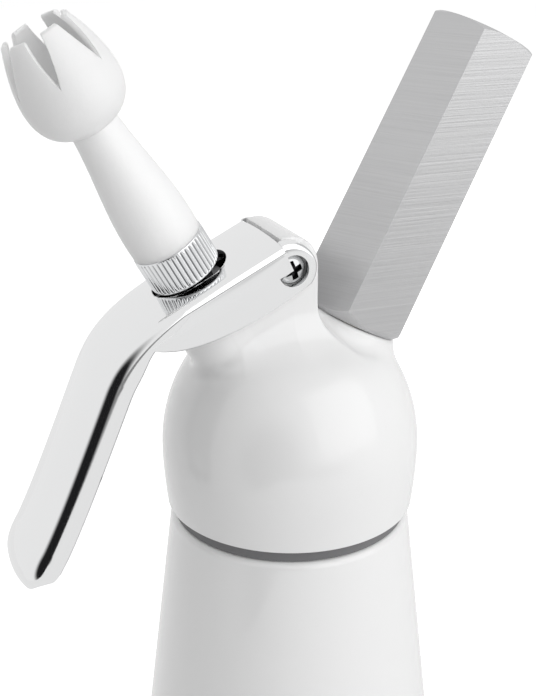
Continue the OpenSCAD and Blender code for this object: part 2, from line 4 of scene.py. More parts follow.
import bmesh
import bpy
import numpy as np
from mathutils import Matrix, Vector


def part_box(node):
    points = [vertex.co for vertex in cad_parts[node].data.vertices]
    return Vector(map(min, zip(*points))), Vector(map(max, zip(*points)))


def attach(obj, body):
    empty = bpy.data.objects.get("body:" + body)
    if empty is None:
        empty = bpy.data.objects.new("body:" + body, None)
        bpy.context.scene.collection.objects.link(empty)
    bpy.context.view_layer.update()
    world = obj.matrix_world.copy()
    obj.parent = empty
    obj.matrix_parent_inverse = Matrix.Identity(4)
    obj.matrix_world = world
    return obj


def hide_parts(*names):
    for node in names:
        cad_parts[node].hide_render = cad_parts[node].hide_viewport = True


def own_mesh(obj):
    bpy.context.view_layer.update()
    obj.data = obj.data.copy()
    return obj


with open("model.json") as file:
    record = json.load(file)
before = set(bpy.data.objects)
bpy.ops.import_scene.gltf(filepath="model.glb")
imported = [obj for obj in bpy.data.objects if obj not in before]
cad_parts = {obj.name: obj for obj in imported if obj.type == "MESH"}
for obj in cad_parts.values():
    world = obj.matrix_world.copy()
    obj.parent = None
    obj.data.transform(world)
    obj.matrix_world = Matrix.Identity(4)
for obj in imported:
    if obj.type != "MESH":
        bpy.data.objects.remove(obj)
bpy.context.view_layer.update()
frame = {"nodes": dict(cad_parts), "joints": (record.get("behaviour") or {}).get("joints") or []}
mm = 0.001

# ---- The studio ----
# A table-top studio: a pale table under the object, one very large soft lamp in front to the right, a
# weaker one behind, and white all round. Dark cards stand past the table's left and front edges, out of
# the picture, and only shiny metal shows them.
picture_w, picture_h = 536, 696
picture_focus = 1236.5  # the focal length in pixels of the picture
camera_place = Vector((-124.6, -262.2, 293.7)) * mm
camera_looks = Vector((0.3826, 0.8470, -0.3691))

camera = bpy.data.objects.new("camera", bpy.data.cameras.new("camera"))
bpy.context.scene.collection.objects.link(camera)
camera.data.sensor_width = 36
camera.data.lens = picture_focus * camera.data.sensor_width / max(picture_w, picture_h)
camera.data.clip_start, camera.data.clip_end = 0.01, 50
camera.location = camera_place
camera.rotation_mode = "QUATERNION"
camera.rotation_quaternion = camera_looks.to_track_quat("-Z", "Y")
bpy.context.scene.camera = camera
bpy.context.scene.view_settings.view_transform = "Standard"


def link(tree, outlet, inlet):
    tree.links.new(outlet, inlet)


def math_node(tree, operation, a, b=None, c=None, clamp=False):
    """A Math node whose inputs are sockets or numbers, and its result."""
    node = tree.nodes.new("ShaderNodeMath")
    node.operation, node.use_clamp = operation, clamp
    for inlet, value in zip(node.inputs, (a, b, c)):
        if isinstance(value, bpy.types.NodeSocket):
            link(tree, value, inlet)
        elif value is not None:
            inlet.default_value = value
    return node.outputs[0]


def vector_node(tree, operation, vector, other=(0, 0, 0)):
    """A Vector Math node on a socket and three numbers."""
    node = tree.nodes.new("ShaderNodeVectorMath")
    node.operation = operation
    link(tree, vector, node.inputs[0])
    node.inputs[1].default_value = other
    return node


def mixed(tree, share, first, second):
    """Two shaders, mixed by a share from 0 to 1."""
    node = tree.nodes.new("ShaderNodeMixShader")
    link(tree, share, node.inputs["Fac"])
    link(tree, first, node.inputs[1])
    link(tree, second, node.inputs[2])
    return node.outputs[0]


def dark_card(tree, direction, centre, reach, edge):
    """1 where a direction lies within an oval about centre, falling softly to 0 past its edge."""
    away = vector_node(tree, "SUBTRACT", direction, Vector(centre).normalized())
    squeezed = vector_node(tree, "DIVIDE", away.outputs[0], reach)
    size = vector_node(tree, "LENGTH", squeezed.outputs[0])
    fade = tree.nodes.new("ShaderNodeMapRange")
    fade.interpolation_type = "SMOOTHSTEP"
    link(tree, size.outputs["Value"], fade.inputs["Value"])
    fade.inputs["From Min"].default_value = 1.0
    fade.inputs["From Max"].default_value = 1.0 + edge
    fade.inputs["To Min"].default_value = 1.0
    fade.inputs["To Max"].default_value = 0.0
    return fade.outputs[0]


studio = bpy.data.worlds.new("studio")
bpy.context.scene.world = studio
studio.use_nodes = True
sky = studio.node_tree
sky.nodes.clear()
toward = sky.nodes.new("ShaderNodeTexCoord").outputs["Generated"]
wall_white, card_black = (0.88, 0.88, 0.88, 1), (0.012, 0.012, 0.013, 1)
wall_light, front_card_share = 0.52, 0.75
left_card = dark_card(sky, toward, (-0.64, -0.77, -0.06), (0.27, 0.27, 0.30), 1.3)
front_card = dark_card(sky, toward, (0.02, -0.97, -0.17), (0.30, 0.30, 0.05), 0.9)
front_part = math_node(sky, "MULTIPLY", front_card, front_card_share)
mirrored_walls = sky.nodes.new("ShaderNodeMix")
mirrored_walls.data_type = "RGBA"
link(sky, math_node(sky, "MAXIMUM", left_card, front_part), mirrored_walls.inputs["Factor"])
mirrored_walls.inputs["A"].default_value = wall_white
mirrored_walls.inputs["B"].default_value = card_black
rays = sky.nodes.new("ShaderNodeLightPath")
lit, mirrored, shown = (sky.nodes.new("ShaderNodeBackground") for _ in range(3))
lit.inputs["Color"].default_value = shown.inputs["Color"].default_value = (1, 1, 1, 1)
lit.inputs["Strength"].default_value = wall_light
link(sky, mirrored_walls.outputs["Result"], mirrored.inputs["Color"])
indirect = mixed(sky, rays.outputs["Is Glossy Ray"], lit.outputs[0], mirrored.outputs[0])
direct = math_node(sky, "MAXIMUM", rays.outputs["Is Camera Ray"], rays.outputs["Is Transmission Ray"])
walls = mixed(sky, direct, indirect, shown.outputs[0])
link(sky, walls, sky.nodes.new("ShaderNodeOutputWorld").inputs["Surface"])


def lamp(name, place, aim, size, watts, mirrored):
    """A square soft lamp at a place, turned to a point. Shiny surfaces show it only where mirrored is set."""
    data = bpy.data.lights.new(name, "AREA")
    data.size, data.energy = size, watts
    thing = bpy.data.objects.new(name, data)
    bpy.context.scene.collection.objects.link(thing)
    thing.visible_camera, thing.visible_glossy = False, mirrored
    thing.location = place
    thing.rotation_mode = "QUATERNION"
    thing.rotation_quaternion = (Vector(aim) - Vector(place)).to_track_quat("-Z", "Y")


middle_height = (0, 0, 0.17)
lamp("soft_box", (0.56, -0.98, 0.76), middle_height, size=1.5, watts=7.3, mirrored=False)
lamp("soft_box_shine", (0.50, -0.88, 0.70), middle_height, size=1.3, watts=3.8, mirrored=True)
lamp("back_lamp", (-0.42, 1.05, 0.55), middle_height, size=0.8, watts=4.0, mirrored=False)

table_left, table_right, table_front, table_back = -0.32, 1.6, -0.62, 2.4
floor = bpy.data.objects.new("floor", bpy.data.meshes.new("floor"))
floor.data.from_pydata([(table_left, table_front, 0), (table_right, table_front, 0),
                        (table_right, table_back, 0), (table_left, table_back, 0)], [], [(0, 1, 2, 3)])
bpy.context.scene.collection.objects.link(floor)
paper_grey, paper_glow, paper_mirrored, mirrored_share = 0.75, 0.62, 0.87, 0.9
paper = bpy.data.materials.new("white_paper")
paper.use_nodes = True
sheet = paper.node_tree
sheet.nodes.clear()
matt = sheet.nodes.new("ShaderNodeBsdfDiffuse")
matt.inputs["Color"].default_value = (paper_grey, paper_grey, paper_grey, 1)
glow = sheet.nodes.new("ShaderNodeEmission")
rays = sheet.nodes.new("ShaderNodeLightPath")
link(sheet, math_node(sheet, "MULTIPLY", rays.outputs["Is Camera Ray"], paper_glow), glow.inputs["Strength"])
both = sheet.nodes.new("ShaderNodeAddShader")
link(sheet, matt.outputs[0], both.inputs[0])
link(sheet, glow.outputs[0], both.inputs[1])
mirrored_paper = sheet.nodes.new("ShaderNodeEmission")
mirrored_paper.inputs["Color"].default_value = (paper_mirrored, paper_mirrored, paper_mirrored, 1)
calm = math_node(sheet, "MULTIPLY", rays.outputs["Is Glossy Ray"], mirrored_share)
calmed = mixed(sheet, calm, both.outputs[0], mirrored_paper.outputs[0])
link(sheet, calmed, sheet.nodes.new("ShaderNodeOutputMaterial").inputs["Surface"])
floor.data.materials.append(paper)

# ---- The bottle ----
# The real piece is a spun aluminium pressure bottle, sprayed and baked in glossy white enamel. Its
# long shoulder slopes in to a rolled edge, and a threaded neck stands up inside the head.
bottle_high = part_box("bottle")[1]
body_r = bottle_high.x
neck_top_z = bottle_high.z
neck_h = 14 * mm
shoulder_z = neck_top_z - neck_h
shoulder_r = 31.4 * mm
shoulder_round = 2 * mm
shoulder_bend_z = 41.8 * mm
shoulder_bend_r = 300 * mm
foot_round = 6 * mm
foot_ring = 3 * mm
base_rise = 3 * mm
bottle_wall = 1.8 * mm
neck_r, neck_wall, lip_round = 26.8 * mm, 2.2 * mm, 0.6 * mm
thread_pitch, thread_depth, thread_turns = 3 * mm, 0.7 * mm, 3
thread_start_z = shoulder_z + 2 * mm
neck_rows = 60


def skin(name, points, around=False, crease=40, filled=False):
    """A mesh over a grid of points, each row of it a closed ring. The last ring joins the first where around
    is set. Rings that shrink to a point become one vertex, and the first and last are filled where filled is
    set. Edges sharper than the crease angle stay sharp."""
    rows, columns = points.shape[:2]
    i, j = np.meshgrid(np.arange(rows if around else rows - 1), np.arange(columns), indexing="ij")
    down, right = (i + 1) % rows, (j + 1) % columns
    corners = (i * columns + j, i * columns + right, down * columns + right, down * columns + j)
    faces = np.stack(corners, -1).reshape(-1, 4).tolist()
    if filled:
        faces += [list(range(columns)), list(range((rows - 1) * columns, rows * columns))[::-1]]
    mesh = bpy.data.meshes.new(name)
    mesh.from_pydata(points.reshape(-1, 3).tolist(), [], faces)
    work = bmesh.new()
    work.from_mesh(mesh)
    bmesh.ops.remove_doubles(work, verts=work.verts, dist=1e-6)
    bmesh.ops.recalc_face_normals(work, faces=work.faces)
    work.to_mesh(mesh)
    work.free()
    mesh.polygons.foreach_set("use_smooth", np.ones(len(mesh.polygons), bool))
    mesh.set_sharp_from_angle(angle=math.radians(crease))
    piece = bpy.data.objects.new(name, mesh)
    bpy.context.scene.collection.objects.link(piece)
    return piece


def arc(centre, radius, start, end, count):
    """Points [across, up] on an arc about a centre, its angles in degrees."""
    turn = np.radians(np.linspace(start, end, count))
    return np.stack([centre[0] + radius * np.cos(turn), centre[1] + radius * np.sin(turn)], -1)


def turned(name, outline, sides=160, swell=None, crease=40):
    """An outline in [radius, height] carried round the Z axis. swell(angle, height, radius) adds to the
    radius."""
    around = np.linspace(0, 2 * math.pi, sides, endpoint=False)
    radius, angle = np.meshgrid(outline[:, 0], around, indexing="ij")
    height = np.repeat(outline[:, 1:], sides, axis=1)
    if swell is not None:
        radius = radius + swell(angle, height, radius)
    points = np.stack([radius * np.cos(angle), radius * np.sin(angle), height], -1)
    return skin(name, points, crease=crease)


def settle(piece, body, material, slot_name, *nodes):
    """Rides a finished piece on its body, in place of the CAD nodes that it stands for."""
    piece.data.materials.clear()
    piece.data.materials.append(material)
    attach(piece, body)
    if nodes:
        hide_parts(*nodes)
    return piece


edge_z = shoulder_z - shoulder_round
shoulder_slope = math.atan((body_r - shoulder_r) / (edge_z - shoulder_bend_z))
bend_start_z = shoulder_bend_z - shoulder_bend_r * math.tan(shoulder_slope / 2)
foot_in_r = body_r - foot_round - foot_ring


def bottle_line(inset):
    """The bottle's side from the foot's round to the shoulder's edge, moved in by a wall's thickness."""
    slope = math.degrees(shoulder_slope)
    return np.concatenate([
        arc((body_r - foot_round, foot_round), foot_round - inset, -90, 0, 14),
        arc((body_r - shoulder_bend_r, bend_start_z), shoulder_bend_r - inset, 0, slope, 30),
        arc((shoulder_r - shoulder_round, edge_z), shoulder_round - inset, slope, 90, 12)])


def thread(angle, height, radius):
    """A rounded screw thread on the outside of the neck: a wave that climbs one pitch each turn."""
    end_z = thread_start_z + thread_turns * thread_pitch
    inside = (height > thread_start_z) & (height < end_z) & (radius > neck_r - 0.5 * mm)
    wave = 0.5 + 0.5 * np.cos(2 * math.pi * ((height - thread_start_z) / thread_pitch) - angle)
    fade = np.clip(np.minimum(height - thread_start_z, end_z - height) / (0.6 * thread_pitch), 0, 1)
    return np.where(inside, (wave ** 1.5 - 1) * thread_depth * fade, 0)


neck_heights = np.linspace(shoulder_z, neck_top_z - lip_round, neck_rows)
neck_side = np.stack([np.full(neck_rows, neck_r), neck_heights], -1)
bottle_outline = np.concatenate([
    [[0, base_rise], [foot_in_r - base_rise, base_rise]],
    arc((foot_in_r - base_rise, 0), base_rise, 80, 10, 8), [[foot_in_r + 0.4 * mm, 0]],
    bottle_line(0), neck_side,
    arc((neck_r - lip_round, neck_top_z - lip_round), lip_round, 10, 90, 5),
    arc((neck_r - neck_wall + lip_round, neck_top_z - lip_round), lip_round, 90, 180, 6),
    [[neck_r - neck_wall, edge_z + 0.3 * mm]],
    bottle_line(bottle_wall)[::-1], [[0, base_rise + bottle_wall]]])
bottle = turned("bottle_shell", bottle_outline, 192, thread)

# The shared effect of all but the brushed holder: fine ripples, and a patchy mask for wear.
surface = bpy.data.node_groups.new("sprayed_surface", "ShaderNodeTree")
surface.interface.new_socket("Depth", in_out="INPUT", socket_type="NodeSocketFloat").default_value = 0.02
surface.interface.new_socket("Size", in_out="INPUT", socket_type="NodeSocketFloat").default_value = 400
surface.interface.new_socket("Normal", in_out="OUTPUT", socket_type="NodeSocketVector")
surface.interface.new_socket("Mottle", in_out="OUTPUT", socket_type="NodeSocketFloat")
group_in = surface.nodes.new("NodeGroupInput")
group_out = surface.nodes.new("NodeGroupOutput")
place = surface.nodes.new("ShaderNodeTexCoord")
ripple = surface.nodes.new("ShaderNodeTexNoise")
ripple.inputs["Detail"].default_value = 2
link(surface, place.outputs["Object"], ripple.inputs["Vector"])
link(surface, group_in.outputs["Size"], ripple.inputs["Scale"])
mottle = surface.nodes.new("ShaderNodeTexNoise")
mottle.inputs["Scale"].default_value = 35
mottle.inputs["Detail"].default_value = 4
link(surface, place.outputs["Object"], mottle.inputs["Vector"])
dent = surface.nodes.new("ShaderNodeBump")
dent.inputs["Distance"].default_value = 0.4 * mm
link(surface, group_in.outputs["Depth"], dent.inputs["Strength"])
link(surface, ripple.outputs["Fac"], dent.inputs["Height"])
link(surface, dent.outputs["Normal"], group_out.inputs["Normal"])
link(surface, mottle.outputs["Fac"], group_out.inputs["Mottle"])


def finish_of(name, base, metal, rough, coat=0.0, coat_rough=0.03):
    """A new material with one Principled BSDF, and that shader."""
    material = bpy.data.materials.new(name)
    material.use_nodes = True
    shader = material.node_tree.nodes["Principled BSDF"]
    shader.inputs["Base Color"].default_value = (*base, 1)
    shader.inputs["Metallic"].default_value = metal
    shader.inputs["Roughness"].default_value = rough
    shader.inputs["Coat Weight"].default_value = coat
    shader.inputs["Coat Roughness"].default_value = coat_rough
    return material, shader


def rippled(material, shader, depth, size):
    """Gives a shader the shared ripples at a depth and a size, and returns the patchy mask."""
    node = material.node_tree.nodes.new("ShaderNodeGroup")
    node.node_tree = surface
    node.inputs["Depth"].default_value = depth
    node.inputs["Size"].default_value = size
    link(material.node_tree, node.outputs["Normal"], shader.inputs["Normal"])
    return node.outputs["Mottle"]


def spread(material, mask, low, high, inlet):
    """Runs a 0 to 1 mask between two colours or two numbers into a shader's inlet."""
    tree = material.node_tree
    if isinstance(low, tuple):
        node = tree.nodes.new("ShaderNodeMix")
        node.data_type = "RGBA"
        node.inputs["A"].default_value = (*low, 1)
        node.inputs["B"].default_value = (*high, 1)
        link(tree, mask, node.inputs["Factor"])
        link(tree, node.outputs["Result"], inlet)
    else:
        node = tree.nodes.new("ShaderNodeMapRange")
        node.inputs["To Min"].default_value = low
        node.inputs["To Max"].default_value = high
        link(tree, mask, node.inputs["Value"])
        link(tree, node.outputs[0], inlet)


enamel, enamel_shader = finish_of("white_enamel", (0.83, 0.83, 0.83), 0.0, 0.28, 1.0, 0.05)
patches = rippled(enamel, enamel_shader, 0.05, 260)
enamel_base = enamel_shader.inputs["Base Color"]
spread(enamel, patches, (0.822, 0.822, 0.824), (0.838, 0.838, 0.836), enamel_base)
spread(enamel, patches, 0.29, 0.36, enamel_shader.inputs["Roughness"])
settle(bottle, "bottle_body", enamel, "white_enamel", "bottle")

# ---- The seals between the bottle and the head ----
# A moulded grey ring sits on the shoulder under the head's rim and shows as a dark line. A flat
# gasket of the same rubber lies on the mouth of the bottle.
rubber, rubber_shader = finish_of("grey_rubber", (0.2, 0.2, 0.21), 0.0, 0.55)
patches = rippled(rubber, rubber_shader, 0.25, 900)
spread(rubber, patches, (0.14, 0.14, 0.145), (0.19, 0.19, 0.195), rubber_shader.inputs["Base Color"])


def dress(material, *nodes):
    """Gives CAD nodes that are shown as they are a material."""
    for node in nodes:
        frame["nodes"][node].data.materials.clear()
        frame["nodes"][node].data.materials.append(material)


dress(rubber, "collar_ring", "head_gasket")

# ---- The head ----
# A die-cast aluminium head in the same enamel: a dome that screws onto the neck, a stout boss for
# the valve on the left, a fin for the lever and a round seat for the charger holder on the right.
rim_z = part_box("head_casting")[0].z
joints = {joint["name"]: joint for joint in frame["joints"]}
pivot = np.array(joints["lever_squeeze"]["pos_m"])
valve_way = -np.array(joints["valve_push"]["axis"])
valve_way /= np.linalg.norm(valve_way)
holder_way = np.array(joints["holder_off"]["axis"])
holder_way /= np.linalg.norm(holder_way)
meeting = np.array([0, 0, rim_z + 15.4 * mm])
rim_r, dome_r, dome_widest, dome_rise = 32 * mm, 33 * mm, 15 * mm, 37.7 * mm
dome_h, crown_round = 46.5 * mm, 9 * mm
boss_r, boss_l, boss_round = 10.3 * mm, 45.5 * mm, 1.2 * mm
fin_half_w, fin_back_x, fin_nose_x, fin_lug_r = 10.3 * mm, 2.6 * mm, -13.4 * mm, 7.7 * mm
fin_top, fin_round, plate_gap, step_back = 5.4 * mm, 0.8 * mm, 0.3 * mm, 2.0 * mm
fin_melt, front_melt, rear_melt, seat_melt = 1.0 * mm, 2.5 * mm, 10 * mm, 4 * mm
front_x, rear_x = -24 * mm, -4 * mm  # where the boss's blend into the dome is tightest and widest
seat_r, seat_l = 13 * mm, 34.5 * mm
neck_bore_r = neck_r + 0.3 * mm
cavity_floor_z = neck_top_z + 2.3 * mm
cavity_top_r, cavity_l = 14 * mm, 14.5 * mm
plate_tilt = math.radians(25.1)
plate_down = np.array([-math.cos(plate_tilt), 0, -math.sin(plate_tilt)])
plate_up = np.array([-math.sin(plate_tilt), 0, math.cos(plate_tilt)])
pressed_tilt = plate_tilt + math.radians(joints["lever_squeeze"]["range_deg"][1])
pressed_up = np.array([-math.sin(pressed_tilt), 0, math.cos(pressed_tilt)])
square_way = np.cross([0, 1, 0], valve_way)


def melt(a, b, width):
    """The lower of two distances, blended over a width, as a fillet between two solids."""
    near = np.clip(0.5 + 0.5 * (b - a) / width, 0, 1)
    return b + (a - b) * near - width * near * (1 - near)


def trim(a, b, width):
    """The higher of two distances, with the edge rounded over a width."""
    return -melt(-a, -b, width)


def rod(p, way, radius, length, round_r):
    """Distance to a round rod that starts at the axes' meeting point, with a rounded end."""
    along = (p - meeting) @ way
    out = np.linalg.norm(p - meeting - along[:, None] * way, axis=1)
    return trim(out - radius, along - length, round_r)


def head_distance(p):
    """Distance from points to the head: dome, boss, fin and seat, melted together where they meet."""
    level = p[:, 2] - rim_z
    out = np.hypot(p[:, 0], p[:, 1])
    over = np.maximum(level - dome_widest, 0) / dome_rise
    bulge = rim_r + (dome_r - rim_r) * np.sin(np.clip(level / dome_widest, 0, 1) * math.pi / 2)
    scaled = np.hypot(out / dome_r, over)
    slant = np.hypot(out / dome_r ** 2, over / dome_rise) + 1e-9
    dome = np.where(level > dome_widest, scaled * (scaled - 1) / slant, out - bulge)
    dome = trim(dome, level - dome_h, crown_round)
    side = p - pivot
    lug = np.hypot(side[:, 0], side[:, 2]) - fin_lug_r
    # The step behind the plate leans a little, so that a ray from the middle meets it once.
    behind = side[:, 0] + 0.1 * side[:, 2] > plate_gap - step_back
    roof = side @ pressed_up - fin_top
    lid = np.minimum(np.maximum(roof, fin_nose_x - p[:, 0]), (p - meeting) @ valve_way - boss_l)
    front = np.maximum(lid, (meeting - p) @ square_way)
    rear = np.maximum(p[:, 0] - fin_back_x, np.where(side[:, 2] > 0, lug, -1))
    fin = trim(np.where(behind, rear, front), np.abs(p[:, 1]) - fin_half_w, fin_round)
    boss = rod(p, valve_way, boss_r, boss_l, boss_round)
    seat = rod(p, holder_way, seat_r, seat_l, boss_round)
    neck = trim(melt(fin, boss, fin_melt), np.abs(p[:, 1]) - fin_half_w - 0.05 * mm, 0.2 * mm)
    blend = np.interp(p[:, 0], [front_x, rear_x], [front_melt, rear_melt])
    return melt(melt(dome, neck, blend), seat, seat_melt)


# Rays leave the axes' meeting point in all directions, and halving finds where each leaves the head.
rim_polar, fine_polar = math.atan2(rim_r, rim_z - meeting[2]), math.radians(75)
polar = np.concatenate([np.linspace(0, fine_polar, 190, endpoint=False),
                        np.linspace(fine_polar, rim_polar - 0.01, 50), [rim_polar]])
azimuth = np.linspace(0, 2 * math.pi, 360, endpoint=False)
tilt, turn = np.meshgrid(polar, azimuth, indexing="ij")
ways = np.stack([np.sin(tilt) * np.cos(turn), np.sin(tilt) * np.sin(turn), np.cos(tilt)], -1).reshape(-1, 3)
deep_inside, well_outside, halvings = 4 * mm, 95 * mm, 26
inner, outer = np.full(len(ways), deep_inside), np.full(len(ways), well_outside)
for _ in range(halvings):
    middle = (inner + outer) / 2
    inside = head_distance(meeting + ways * middle[:, None]) < 0
    inner, outer = np.where(inside, middle, inner), np.where(inside, outer, middle)
outside = (meeting + ways * ((inner + outer) / 2)[:, None]).reshape(len(polar), len(azimuth), 3)
outside[-1] = np.stack([rim_r * np.cos(azimuth), rim_r * np.sin(azimuth), np.full(len(azimuth), rim_z)], -1)
under = np.array([[neck_bore_r, rim_z], [neck_bore_r, cavity_floor_z], [neck_r - neck_wall, cavity_floor_z],
                  [cavity_top_r, cavity_floor_z + cavity_l], [0, cavity_floor_z + cavity_l]])
inside_rows = np.stack([under[:, :1] * np.cos(azimuth), under[:, :1] * np.sin(azimuth),
                        np.repeat(under[:, 1:], len(azimuth), axis=1)], -1)
head = skin("head_casting_skin", np.concatenate([outside, inside_rows]), crease=50)


def axes_of(way):
    """Three unit directions as columns: the last runs along way, and the second is Y, across the object."""
    stand = np.cross([0, 1, 0], way)
    stand = stand / np.linalg.norm(stand)
    return np.stack([stand, np.cross(way, stand), way], 1)


def places_of(piece):
    """The places of a piece's vertices."""
    co = np.empty(len(piece.data.vertices) * 3)
    piece.data.vertices.foreach_get("co", co)
    return co.reshape(-1, 3)


def tube_along(name, start, way, outline, sides=96, swell=None, crease=40):
    """A turned outline in [radius, distance] whose axis runs from a point in a direction."""
    piece = turned(name, outline, sides, swell, crease)
    piece.data.vertices.foreach_set("co", (places_of(piece) @ axes_of(way).T + start).ravel())
    piece.data.update()
    return piece


def cut(piece, tool):
    """Takes one solid out of another for good."""
    cutter = piece.modifiers.new("cut", "BOOLEAN")
    cutter.object, cutter.solver, cutter.operation = tool, "EXACT", "DIFFERENCE"
    bpy.context.view_layer.update()
    made = bpy.data.meshes.new_from_object(piece.evaluated_get(bpy.context.evaluated_depsgraph_get()))
    piece.modifiers.clear()
    piece.data = made
    bpy.data.objects.remove(tool)


pocket_r, pocket_floor, pocket_flare, past_boss = 6.4 * mm, 28 * mm, 0.6 * mm, 2.5 * mm
mouth_r, mouth_end = pocket_r + pocket_flare, boss_l + past_boss
pocket_outline = np.array([
    [0, pocket_floor], [pocket_r, pocket_floor], [pocket_r, boss_l - pocket_flare],
    [mouth_r, boss_l], [mouth_r, mouth_end], [0, mouth_end]])
cut(head, tube_along("pocket", meeting, valve_way, pocket_outline, 64))
settle(head, "head", enamel, "white_enamel", "head_casting")

# ---- The lever's pivot ----
# Two stainless screws with domed, cross-recessed heads hold the lever's ears against the fin, and a
# brass bush lines the hole between them.
screw_r, screw_dome_h, screw_sides = 3.6 * mm, 2.4 * mm, 144
screw_face_y = -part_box("pivot_screws")[0].y
recess_arm, recess_half_w, recess_depth = 2.35 * mm, 0.66 * mm, 1.9 * mm
screw_turn = math.radians(20)


def dome_over(out):
    """Height of the screw's dome over its seat, at a distance from its middle."""
    return screw_dome_h * np.sqrt(np.clip(1 - (out / (screw_r * 1.02)) ** 2 * 0.93, 0, 1))


def screw_head(name, side):
    """A domed head on a polar grid, with a cross sunk into it by a steep-sided step of depth."""
    around = np.linspace(0, 2 * math.pi, screw_sides, endpoint=False)
    out, turn = np.meshgrid(np.linspace(0, 1, 70) ** 0.8 * screw_r, around, indexing="ij")
    across, up = out * np.cos(turn - screw_turn), out * np.sin(turn - screw_turn)
    arm_a = np.maximum(np.abs(across) / recess_half_w, np.abs(up) / recess_arm)
    arm_b = np.maximum(np.abs(up) / recess_half_w, np.abs(across) / recess_arm)
    wall = np.clip((1.15 - np.minimum(arm_a, arm_b)) / 0.3, 0, 1)
    sunk = wall * recess_depth * (1 - 0.35 * out / recess_arm) * (out < recess_arm)
    x, z = pivot[0] + out * np.cos(turn), pivot[2] + out * np.sin(turn)
    seat_y = np.full(screw_sides, side * (screw_face_y - screw_dome_h))
    y = side * (screw_face_y - screw_dome_h + np.maximum(dome_over(out) - sunk, 0))
    foot = np.stack([x[-1], seat_y, z[-1]], -1)[None]
    hub = np.stack([np.full(screw_sides, pivot[0]), seat_y, np.full(screw_sides, pivot[2])], -1)[None]
    return skin(name, np.concatenate([np.stack([x, y, z], -1), foot, hub]), crease=30)


def metal_of(name, base, rough, depth, size):
    """A metal with faint ripples, and roughness that wanders by up to a third about its mean."""
    material, shader = finish_of(name, base, 1.0, rough)
    patches = rippled(material, shader, depth, size)
    spread(material, patches, 0.7 * rough, 1.3 * rough, shader.inputs["Roughness"])
    worn_base = tuple(0.96 * value for value in base)
    spread(material, patches, worn_base, base, shader.inputs["Base Color"])
    return material


steel = metal_of("polished_steel", (0.86, 0.87, 0.88), 0.14, 0.04, 900)


def metal_with_painted_shade(name, base, rough, deep):
    """A polished metal with painted shade: its colour darkens to a given dark colour in its grooves and
    recesses, where the mesh's own attribute "deep" runs to 1.
    """
    material = metal_of(name, base, rough, 0.05, 900)
    tree = material.node_tree
    shader = tree.nodes["Principled BSDF"]
    plain_colour = shader.inputs["Base Color"].links[0].from_socket
    # Painted shade: the colour is mixed towards the dark colour where the attribute runs to 1.
    painted_shade_share = tree.nodes.new("ShaderNodeAttribute")
    painted_shade_share.attribute_name = "deep"
    sunk = tree.nodes.new("ShaderNodeMix")
    sunk.data_type = "RGBA"
    link(tree, painted_shade_share.outputs["Fac"], sunk.inputs["Factor"])
    link(tree, plain_colour, sunk.inputs["A"])
    sunk.inputs["B"].default_value = (*deep, 1)
    link(tree, sunk.outputs["Result"], shader.inputs["Base Color"])
    return material


def mark_painted_shade(piece, share):
    """Writes a 0 to 1 share of painted shade for each vertex, from how deep it lies, into the attribute that
    the metal with painted shade reads.
    """
    depths = piece.data.attributes.new("deep", "FLOAT", "POINT")
    depths.data.foreach_set("value", np.clip(share, 0, 1).astype(np.float32))
    return piece


# Painted shade: the screws' cross recesses are coloured near black, darkest at their bottoms.
screw_metal = metal_with_painted_shade("passivated_screw", (0.62, 0.625, 0.63), 0.2, (0.03, 0.03, 0.032))
for screw_name, side in (("near_pivot_screw", -1), ("far_pivot_screw", 1)):
    screw = screw_head(screw_name, side)
    at = places_of(screw) - pivot
    out = np.hypot(at[:, 0], at[:, 2])
    face = screw_face_y - screw_dome_h + dome_over(out)
    mark_painted_shade(screw, (face - side * at[:, 1]) / (0.6 * mm) * (out < recess_arm * 1.1))
    settle(screw, "head", screw_metal, "polished_metal", "pivot_screws")
brass = metal_of("turned_brass", (0.78, 0.6, 0.3), 0.34, 0.1, 1200)
dress(brass, "pivot_bush", "gland_bush", "inlet_stub", "check_valve_cage")

# ---- The lever ----
# A cast aluminium channel, polished and plated. Its plate lies over the fin between two ears, bends
# down in front of the nozzle and becomes a handle with a rounded back and a blunt tip.
lever_half_w, lever_edge_r, handle_edge_r, lever_wall = 12.8 * mm, 2.2 * mm, 5.2 * mm, 2.3 * mm
handle_wall, handle_wall_at, full_wall_l = 3.3 * mm, 45 * mm, 12 * mm
plate_over, plate_l = 8.0 * mm, 26 * mm
bend_size, handle_l, handle_lean = 19 * mm, 55.5 * mm, math.radians(17.3)
handle_deep, tip_taper, tip_power = 8.2 * mm, 12 * mm, 3.6
bend_shallow, bend_run, bend_reach = 2.6 * mm, 37 * mm, 7 * mm
crown = 0.8 * mm
ear_r, ear_wall, screw_hole_r = 6.2 * mm, 2.2 * mm, 3.9 * mm
slot_r, slot_low, slot_high = 7.4 * mm, 44 * mm, 62 * mm
slot_shifts = (-2 * mm, 0.5 * mm, 3 * mm)
flat = np.array([0, 2])
hinge = pivot[flat]
down_plate, up_plate = plate_down[flat], plate_up[flat]
plate_end = hinge + plate_over * up_plate
plate_front = plate_end + plate_l * down_plate
down_handle = np.array([-math.sin(handle_lean), -math.cos(handle_lean)])
out_handle = np.array([-math.cos(handle_lean), math.sin(handle_lean)])
bend_end = plate_front + bend_size * np.array([-1.15, -1])


def bezier(corners, t):
    """A smooth curve drawn by four corner points."""
    t = np.asarray(t)[:, None]
    a, b, c, d = (np.asarray(corner) for corner in corners)
    return (1 - t) ** 3 * a + 3 * t * (1 - t) ** 2 * b + 3 * t ** 2 * (1 - t) * c + t ** 3 * d


def on_handle(share, bow):
    """A point at a share of the handle's length, bowed out from its straight by some millimetres."""
    return bend_end + share * handle_l * down_handle + bow * mm * out_handle


def even(line, count):
    """The same line with its points spread evenly along it."""
    steps = np.concatenate([[0], np.cumsum(np.linalg.norm(np.diff(line, axis=0), axis=1))])
    places = np.linspace(0, steps[-1], count)
    spaced = np.stack([np.interp(places, steps, line[:, 0]), np.interp(places, steps, line[:, 1])], -1)
    return spaced, places


